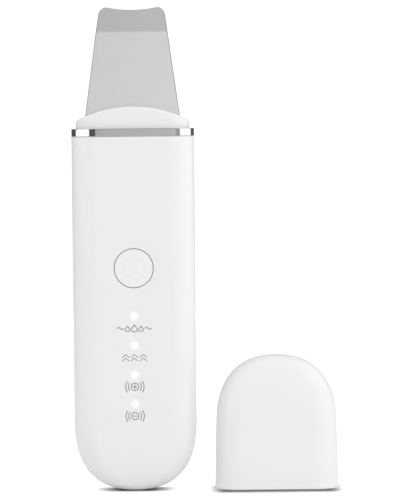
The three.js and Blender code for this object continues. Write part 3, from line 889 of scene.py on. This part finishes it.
def cap_stations(inset, bottom, count):
    """(height, half-width, half-depth) of the cap from its rim to its top, shrunk by an inset."""
    height = CAP_HEIGHT - inset
    half_width = (cap_high.x - cap_low.x) / 2 - inset
    half_depth = cap_high.y - inset
    heights = [bottom, CAP_START * 0.5]
    heights += superellipse_heights(CAP_START, height, 0.9995, CAP_WIDTH_POWER, count)
    rows = []
    for z in heights:
        rise = (z - CAP_START) / height
        rows.append((
            z,
            rounded_off(half_width - CAP_DRAFT * z, rise, CAP_WIDTH_POWER),
            rounded_off(half_depth - CAP_DRAFT * z / 2, rise, CAP_DEPTH_POWER),
        ))
    return rows


def cap():
    """The loose cap, a thin-walled hood with a rounded rim."""
    full_round = cap_high.y
    rim = 0.3
    outer = cap_stations(0.0, rim, 44)
    inner = cap_stations(CAP_WALL, rim, 44)

    def ring(z, w, d, inset):
        return stadium_ring(CAP_X, z, w, d, full_round - inset, 40)

    _, w0, d0 = outer[0]
    turn = quarter_turn(4)[1:]
    rings = [ring(z, w, d, CAP_WALL) for z, w, d in reversed(inner)]
    lip = [(CAP_WALL - rim * (1 - math.cos(a)), rim - rim * math.sin(a)) for a in turn]
    rings += [ring(z, w0 - inset, d0 - inset, inset) for inset, z in lip]
    lip = [(rim * (1 - math.cos(a)), rim - rim * math.sin(a)) for a in reversed(turn)]
    rings += [ring(z, w0 - inset, d0 - inset, inset) for inset, z in lip]
    rings += [ring(z, w, d, 0.0) for z, w, d in outer]
    piece = make_object("cap_shell", loft(rings), 50.0)
    settle(piece, MATERIALS["shell_white"], "cap", "shell_white", "protective_cap")


# ---- Pieces that keep their CAD shape ----


def dress_cad_nodes():
    """Every CAD node gets the procedural material of its record slot."""
    for entry in frame["record"]["subparts"]:
        node = frame["nodes"][entry["node"]]
        node.data.materials.clear()
        node.data.materials.append(MATERIALS[entry["material_slot"]])


# ---- Stage, light and camera ----

FLOOR_RADIUS = 1.4  # in metres
FLOOR_GREY = 0.8
FLOOR_GLOW, FLOOR_GLOW_SEEN = 0.1, 0.55
# How far the painted contact shadow on the floor is darkest, and over what length it then fades.
HANDLE_SHADE = {"sides": (3.5, 15.5), "front": (5, 11.5), "back": (3, 8), "darkest": 0.03}
CAP_SHADE = {"sides": (18.5, 8.5), "front": (11.5, 17), "back": (6, 8), "darkest": 0.11}
CLOSE_REACH = 25  # how near something has to stand for the floor's contact shade to show
BACKDROP_STRENGTH = 1.1
FADE_HEIGHTS = (0.12, 0.36)  # sine of the elevation where the surroundings start and stop fading
MIRROR_FADE = 0.8
# The key light's places and sizes are in metres, its power in watts.
KEY_LIGHT = {"position": (0.36, -0.30, 0.32), "target": (0, 0, 0.08), "size": (0.2, 0.2), "power": 0.4}


def painted_contact_shade(nodes, links, place, x0, sides, front, back, darkest):
    """Brightness of the floor round a base at x0, with a painted shadow that is darkest beneath it.

    sides, front and back each say how far the darkest part reaches, and over what length it then fades.
    """
    across = node_math(nodes, links, "ABSOLUTE", node_math(nodes, links, "SUBTRACT", place["X"], x0 * MM))
    forward = node_math(nodes, links, "MULTIPLY", place["Y"], -1.0)
    parts = []
    for reach, (start, width) in ((across, sides), (forward, front), (place["Y"], back)):
        past = remap(nodes, links, reach, (start * MM, (start + width) * MM), (0, 1), "LINEAR")
        parts.append(node_math(nodes, links, "MULTIPLY", past, past))
    lengthwise = node_math(nodes, links, "ADD", parts[1], parts[2])
    away = node_math(nodes, links, "SQRT", node_math(nodes, links, "ADD", parts[0], lengthwise))
    return remap(nodes, links, away, (0, 1), (darkest, 1))


def stands_close(nodes, links):
    """1 where something stands on the floor within CLOSE_REACH in front or behind, 0 elsewhere."""
    covered = []
    for direction in (1, -1):
        look = nodes.new("ShaderNodeCombineXYZ")
        look.inputs["Y"].default_value = direction
        open_share = nodes.new("ShaderNodeAmbientOcclusion")
        open_share.samples = 32
        open_share.inputs["Distance"].default_value = CLOSE_REACH * MM
        links.new(look.outputs["Vector"], open_share.inputs["Normal"])
        covered.append(node_math(nodes, links, "SUBTRACT", 1.0, open_share.outputs["AO"]))
    most = node_math(nodes, links, "MAXIMUM", *covered)
    return remap(nodes, links, most, (0.1, 0.2), (0, 1), "LINEAR")


def floor_material():
    """Pale floor that looks white to the camera, with a painted shadow that is dark where something stands
    on it.

    The dark part is shaped for the front view, where it is a thin line.
    """
    material, nodes, links, shader = new_material("pale_floor")
    nodes.remove(shader)
    place = split_place(nodes, links, "Object")
    handle = painted_contact_shade(nodes, links, place, HANDLE_X, **HANDLE_SHADE)
    cap_base = painted_contact_shade(nodes, links, place, CAP_X, **CAP_SHADE)
    # the painted contact shadows of both bases, which the camera sees only where stands_close finds
    # something near
    shade = node_math(nodes, links, "MULTIPLY", handle, cap_base)
    rays = nodes.new("ShaderNodeLightPath")
    seen = node_math(nodes, links, "MULTIPLY", stands_close(nodes, links), rays.outputs["Is Camera Ray"])
    lost = node_math(nodes, links, "MULTIPLY", node_math(nodes, links, "SUBTRACT", 1.0, shade), seen)
    kept = node_math(nodes, links, "SUBTRACT", 1.0, lost)
    diffuse = nodes.new("ShaderNodeBsdfDiffuse")
    diffuse.inputs["Color"].default_value = (*grey(FLOOR_GREY), 1)
    black = nodes.new("ShaderNodeBsdfDiffuse")
    black.inputs["Color"].default_value = (0, 0, 0, 1)
    darken = nodes.new("ShaderNodeMixShader")
    links.new(kept, darken.inputs["Fac"])
    links.new(black.outputs["BSDF"], darken.inputs[1])
    links.new(diffuse.outputs["BSDF"], darken.inputs[2])
    glow = nodes.new("ShaderNodeEmission")
    glow_range = (FLOOR_GLOW, FLOOR_GLOW_SEEN)
    bright = remap(nodes, links, rays.outputs["Is Camera Ray"], (0, 1), glow_range, "LINEAR")
    links.new(node_math(nodes, links, "MULTIPLY", bright, kept), glow.inputs["Strength"])
    add = nodes.new("ShaderNodeAddShader")
    links.new(darken.outputs["Shader"], add.inputs[0])
    links.new(glow.outputs["Emission"], add.inputs[1])
    links.new(add.outputs["Shader"], nodes["Material Output"].inputs["Surface"])
    return material


def stage_floor():
    """A round floor, in metres."""
    bm = bmesh.new()
    bmesh.ops.create_circle(bm, cap_ends=True, segments=64, radius=FLOOR_RADIUS)
    floor = link_mesh("floor", bm)
    floor.data.materials.append(floor_material())


# What the surroundings look like over the azimuth, in degrees from the viewer's side, plus to the right.
MIRRORED_ROOM = [
    (-180, 0.13), (-111, 0.13), (-104, 2.2), (-35, 2.2), (-30, 0.15), (-6, 0.17), (-3, 0.84),
    (30, 0.94), (33, 0.60), (50, 0.60), (56, 2.2), (116, 2.2), (123, 0.15), (180, 0.13),
]
LIGHTING_ROOM = [
    (-180, 0.84), (-125, 0.84), (-90, 0.96), (-45, 1.04), (0, 1.06),
    (45, 1.09), (90, 1.04), (125, 1.00), (180, 0.84),
]


def azimuth(nodes, links):
    """Azimuth of the looked-at direction as a share of a turn, 0.5 straight towards the viewer."""
    direction = split_place(nodes, links, "Generated")
    forward = node_math(nodes, links, "MULTIPLY", direction["Y"], -1.0)
    turn = node_math(nodes, links, "ARCTAN2", direction["X"], forward)
    return remap(nodes, links, turn, (-math.pi, math.pi), (0, 1), "LINEAR")


def room_background(nodes, links, share, room, upward_fade=1.0):
    """The surroundings as a background. Well above the horizon they fade to a share of their brightness."""
    ramp = nodes.new("ShaderNodeValToRGB")
    elements = ramp.color_ramp.elements
    elements.remove(elements[1])
    elements[0].position = 0.0
    elements[0].color = (*grey(room[0][1]), 1)
    for degrees, level in room[1:]:
        element = elements.new((degrees + 180) / 360)
        element.color = (*grey(level), 1)
    links.new(share, ramp.inputs["Fac"])
    background = nodes.new("ShaderNodeBackground")
    links.new(ramp.outputs["Color"], background.inputs["Color"])
    height = split_place(nodes, links, "Generated")["Z"]
    strength = remap(nodes, links, height, FADE_HEIGHTS, (1.0, upward_fade))
    links.new(strength, background.inputs["Strength"])
    return background.outputs["Background"]


def studio():
    """White for the camera, a nearly even room as light, and a room with bright panels to mirror."""
    world = bpy.data.worlds.new("studio")
    bpy.context.scene.world = world
    world.use_nodes = True
    nodes, links = world.node_tree.nodes, world.node_tree.links
    nodes.clear()
    share = azimuth(nodes, links)
    rays = nodes.new("ShaderNodeLightPath")
    choose = nodes.new("ShaderNodeMixShader")
    direct = node_math(nodes, links, "SUBTRACT", 1.0, rays.outputs["Diffuse Depth"], clamp=True)
    mirrored = node_math(nodes, links, "MULTIPLY", rays.outputs["Is Glossy Ray"], direct)
    links.new(mirrored, choose.inputs["Fac"])
    links.new(room_background(nodes, links, share, LIGHTING_ROOM), choose.inputs[1])
    links.new(room_background(nodes, links, share, MIRRORED_ROOM, MIRROR_FADE), choose.inputs[2])
    backdrop = nodes.new("ShaderNodeBackground")
    backdrop.inputs["Color"].default_value = WHITE
    backdrop.inputs["Strength"].default_value = BACKDROP_STRENGTH
    seen = nodes.new("ShaderNodeMixShader")
    links.new(rays.outputs["Is Camera Ray"], seen.inputs["Fac"])
    links.new(choose.outputs["Shader"], seen.inputs[1])
    links.new(backdrop.outputs["Background"], seen.inputs[2])
    output = nodes.new("ShaderNodeOutputWorld")
    links.new(seen.outputs["Shader"], output.inputs["Surface"])


def soft_light(name, position, target, size, power):
    """A rectangular area light that shiny surfaces don't mirror."""
    data = bpy.data.lights.new(name, "AREA")
    data.shape = "RECTANGLE"
    data.size, data.size_y = size
    data.energy = power
    light = bpy.data.objects.new(name, data)
    light.location = position
    light.rotation_euler = (Vector(target) - Vector(position)).to_track_quat("-Z", "Y").to_euler()
    light.visible_glossy = False
    bpy.context.scene.collection.objects.link(light)


# The camera's place is in metres.
CAMERA_DISTANCE = 1.5
CAMERA_HEIGHT = 0.135
AIM_LEFT, AIM_DOWN = 0.0004, 0.0009
CAMERA_ROLL = math.radians(0.57)
LENS_LENGTH = 298.0


def camera():
    """Long lens near the height of the chrome band, tipped down a little and rolled by half a degree."""
    data = bpy.data.cameras.new("camera")
    data.lens = LENS_LENGTH
    data.sensor_width = 36.0
    data.clip_start, data.clip_end = 0.05, 20.0
    cam = bpy.data.objects.new("camera", data)
    bpy.context.scene.collection.objects.link(cam)
    middle = (cad_low + cad_high) / 2
    aim = Vector((middle.x - AIM_LEFT, 0.0, middle.z - AIM_DOWN))
    cam.location = (aim.x, -CAMERA_DISTANCE, CAMERA_HEIGHT)
    look = (aim - cam.location).to_track_quat("-Z", "Y")
    cam.rotation_mode = "QUATERNION"
    cam.rotation_quaternion = look @ Matrix.Rotation(-CAMERA_ROLL, 4, "Z").to_quaternion()
    bpy.context.scene.camera = cam


camera()
dress_cad_nodes()
front_shell()
rear_shell()
band_ring()
collar()
gasket()
spatula()
button()
lenses()
signs()
cap()
stage_floor()
studio()
soft_light("key", **KEY_LIGHT)
bpy.context.scene.view_settings.view_transform = "Standard"
